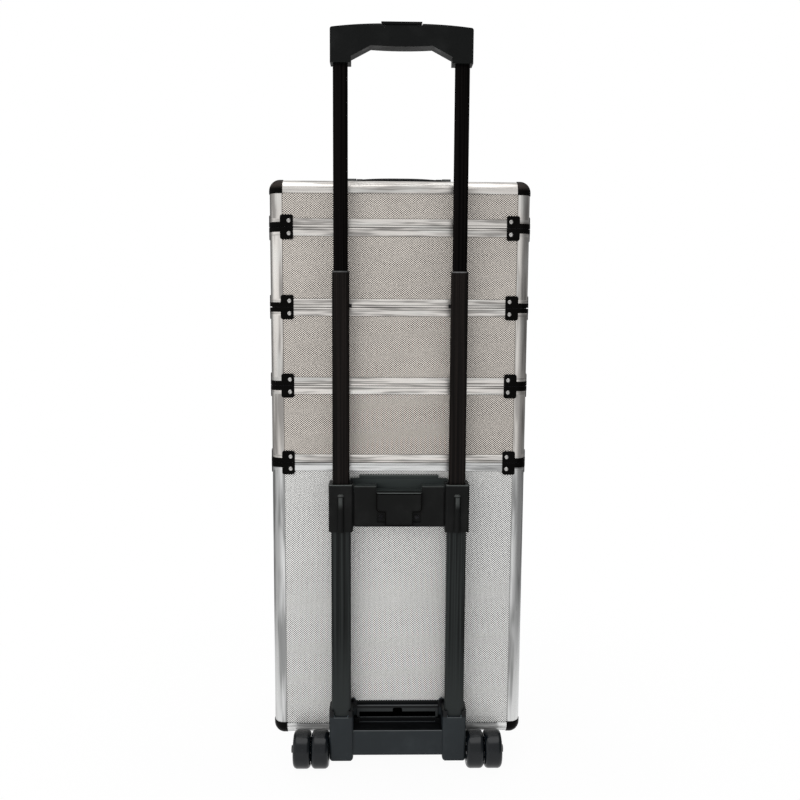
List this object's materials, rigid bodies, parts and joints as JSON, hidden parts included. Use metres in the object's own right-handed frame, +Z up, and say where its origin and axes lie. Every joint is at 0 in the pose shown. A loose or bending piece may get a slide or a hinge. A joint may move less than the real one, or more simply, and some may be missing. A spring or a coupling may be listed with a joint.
{
  "type": "rolling makeup case",
  "caption": "Tall makeup case of stacked aluminium-framed shells and a lid, on rear wheels and front feet, with a telescopic trolley handle and a folding carry handle.",
  "frame": {"origin": "middle of the footprint's box, on the floor", "axes": "+Z up, -Y towards the telescopic handle at the back, +X to the right seen from behind"},
  "size_m": [0.3756, 0.2862, 0.9844],
  "materials": {
    "panel": "diamond embossed, silver",
    "lining": "black, plain",
    "frame_aluminium": "satin",
    "black_plastic": "moulded, fine grain",
    "black_tube": "black, satin coated",
    "grip_plastic": "moulded, satin",
    "steel": "nickel plated",
    "wheel_rubber": "moulded"
  },
  "bodies": {
    "bottom_case": {"bottom_case_panels": "panel", "bottom_case_floor": "lining", "bottom_case_frame": "frame_aluminium", "bottom_case_corners": "black_plastic", "bottom_case_rivets": "steel", "bottom_case_latch_plates": "steel", "base_frame": "black_plastic", "tube_bracket": "black_plastic", "outer_tubes": "black_tube", "trolley_screws": "steel", "left_axle": "steel", "right_axle": "steel", "left_front_foot": "black_plastic", "right_front_foot": "black_plastic"},
    "lower_middle_case": {"lower_middle_panels": "panel", "lower_middle_floor": "lining", "lower_middle_frame": "frame_aluminium", "lower_middle_corners": "black_plastic", "lower_middle_rivets": "steel", "lower_middle_latch_plates": "steel"},
    "upper_middle_case": {"upper_middle_panels": "panel", "upper_middle_floor": "lining", "upper_middle_frame": "frame_aluminium", "upper_middle_corners": "black_plastic", "upper_middle_rivets": "steel", "upper_middle_latch_plates": "steel"},
    "top_case": {"top_case_panels": "panel", "top_case_floor": "lining", "top_case_frame": "frame_aluminium", "top_case_corners": "black_plastic", "top_case_rivets": "steel", "top_case_latch_plates": "steel"},
    "lid": {"lid_panels": "panel", "lid_top": "panel", "lid_frame": "frame_aluminium", "lid_corners": "black_plastic", "lid_rivets": "steel", "lid_strikes": "steel", "carry_handle_mounts": "black_plastic"},
    "carry_handle": {"carry_handle": "grip_plastic"},
    "middle_stage": {"middle_tubes": "black_tube", "tube_collars": "steel", "lock_pins": "steel"},
    "inner_stage": {"inner_tubes": "black_tube", "grip": "grip_plastic"},
    "release": {"release_button": "grip_plastic", "push_rods": "steel"},
    "left_hasp_1": {"left_hasp_1": "steel"},
    "left_hasp_2": {"left_hasp_2": "steel"},
    "left_hasp_3": {"left_hasp_3": "steel"},
    "left_hasp_4": {"left_hasp_4": "steel"},
    "right_hasp_1": {"right_hasp_1": "steel"},
    "right_hasp_2": {"right_hasp_2": "steel"},
    "right_hasp_3": {"right_hasp_3": "steel"},
    "right_hasp_4": {"right_hasp_4": "steel"},
    "left_outer_wheel": {"left_outer_wheel": "wheel_rubber"},
    "left_inner_wheel": {"left_inner_wheel": "wheel_rubber"},
    "right_inner_wheel": {"right_inner_wheel": "wheel_rubber"},
    "right_outer_wheel": {"right_outer_wheel": "wheel_rubber"}
  },
  "joints": [
    {"name": "lower_middle_lift", "type": "slide", "parent": "bottom_case", "child": "lower_middle_case", "axis": [0, 0, 1], "range_m": [0, 0.12]},
    {"name": "upper_middle_lift", "type": "slide", "parent": "lower_middle_case", "child": "upper_middle_case", "axis": [0, 0, 1], "range_m": [0, 0.12]},
    {"name": "top_case_lift", "type": "slide", "parent": "upper_middle_case", "child": "top_case", "axis": [0, 0, 1], "range_m": [0, 0.12]},
    {"name": "lid_lift", "type": "slide", "parent": "top_case", "child": "lid", "axis": [0, 0, 1], "range_m": [0, 0.12]},
    {"name": "carry_handle_fold", "type": "hinge", "parent": "lid", "child": "carry_handle", "pos_m": [0, -0.01665, 0.803], "axis": [1, 0, 0], "range_deg": [0, 90]},
    {"name": "middle_tubes_slide", "type": "slide", "parent": "bottom_case", "child": "middle_stage", "axis": [0, 0, 1], "range_m": [-0.27, 0]},
    {"name": "inner_tubes_slide", "type": "slide", "parent": "middle_stage", "child": "inner_stage", "axis": [0, 0, 1], "range_m": [-0.256, 0]},
    {"name": "button_press", "type": "slide", "parent": "inner_stage", "child": "release", "axis": [0, 0, 1], "range_m": [-0.0025, 0], "stiffness_N_per_m": 900, "springref_m": 0.002},
    {"name": "left_hasp_1_swing", "type": "hinge", "parent": "bottom_case", "child": "left_hasp_1", "pos_m": [-0.1765, 0.05935, 0.407], "axis": [0, -1, 0], "range_deg": [-13, 137]},
    {"name": "left_hasp_2_swing", "type": "hinge", "parent": "lower_middle_case", "child": "left_hasp_2", "pos_m": [-0.1765, 0.05935, 0.511], "axis": [0, -1, 0], "range_deg": [-13, 137]},
    {"name": "left_hasp_3_swing", "type": "hinge", "parent": "upper_middle_case", "child": "left_hasp_3", "pos_m": [-0.1765, 0.05935, 0.615], "axis": [0, -1, 0], "range_deg": [-13, 137]},
    {"name": "left_hasp_4_swing", "type": "hinge", "parent": "top_case", "child": "left_hasp_4", "pos_m": [-0.1765, 0.05935, 0.719], "axis": [0, -1, 0], "range_deg": [-13, 137]},
    {"name": "right_hasp_1_swing", "type": "hinge", "parent": "bottom_case", "child": "right_hasp_1", "pos_m": [0.1765, 0.05935, 0.407], "axis": [0, 1, 0], "range_deg": [-13, 137]},
    {"name": "right_hasp_2_swing", "type": "hinge", "parent": "lower_middle_case", "child": "right_hasp_2", "pos_m": [0.1765, 0.05935, 0.511], "axis": [0, 1, 0], "range_deg": [-13, 137]},
    {"name": "right_hasp_3_swing", "type": "hinge", "parent": "upper_middle_case", "child": "right_hasp_3", "pos_m": [0.1765, 0.05935, 0.615], "axis": [0, 1, 0], "range_deg": [-13, 137]},
    {"name": "right_hasp_4_swing", "type": "hinge", "parent": "top_case", "child": "right_hasp_4", "pos_m": [0.1765, 0.05935, 0.719], "axis": [0, 1, 0], "range_deg": [-13, 137]},
    {"name": "left_outer_wheel_spin", "type": "hinge", "parent": "bottom_case", "child": "left_outer_wheel", "pos_m": [-0.1189, -0.11715, 0.0255], "axis": [1, 0, 0], "continuous": true},
    {"name": "left_inner_wheel_spin", "type": "hinge", "parent": "bottom_case", "child": "left_inner_wheel", "pos_m": [-0.0941, -0.11715, 0.0255], "axis": [1, 0, 0], "continuous": true},
    {"name": "right_inner_wheel_spin", "type": "hinge", "parent": "bottom_case", "child": "right_inner_wheel", "pos_m": [0.0941, -0.11715, 0.0255], "axis": [1, 0, 0], "continuous": true},
    {"name": "right_outer_wheel_spin", "type": "hinge", "parent": "bottom_case", "child": "right_outer_wheel", "pos_m": [0.1189, -0.11715, 0.0255], "axis": [1, 0, 0], "continuous": true}
  ]
}
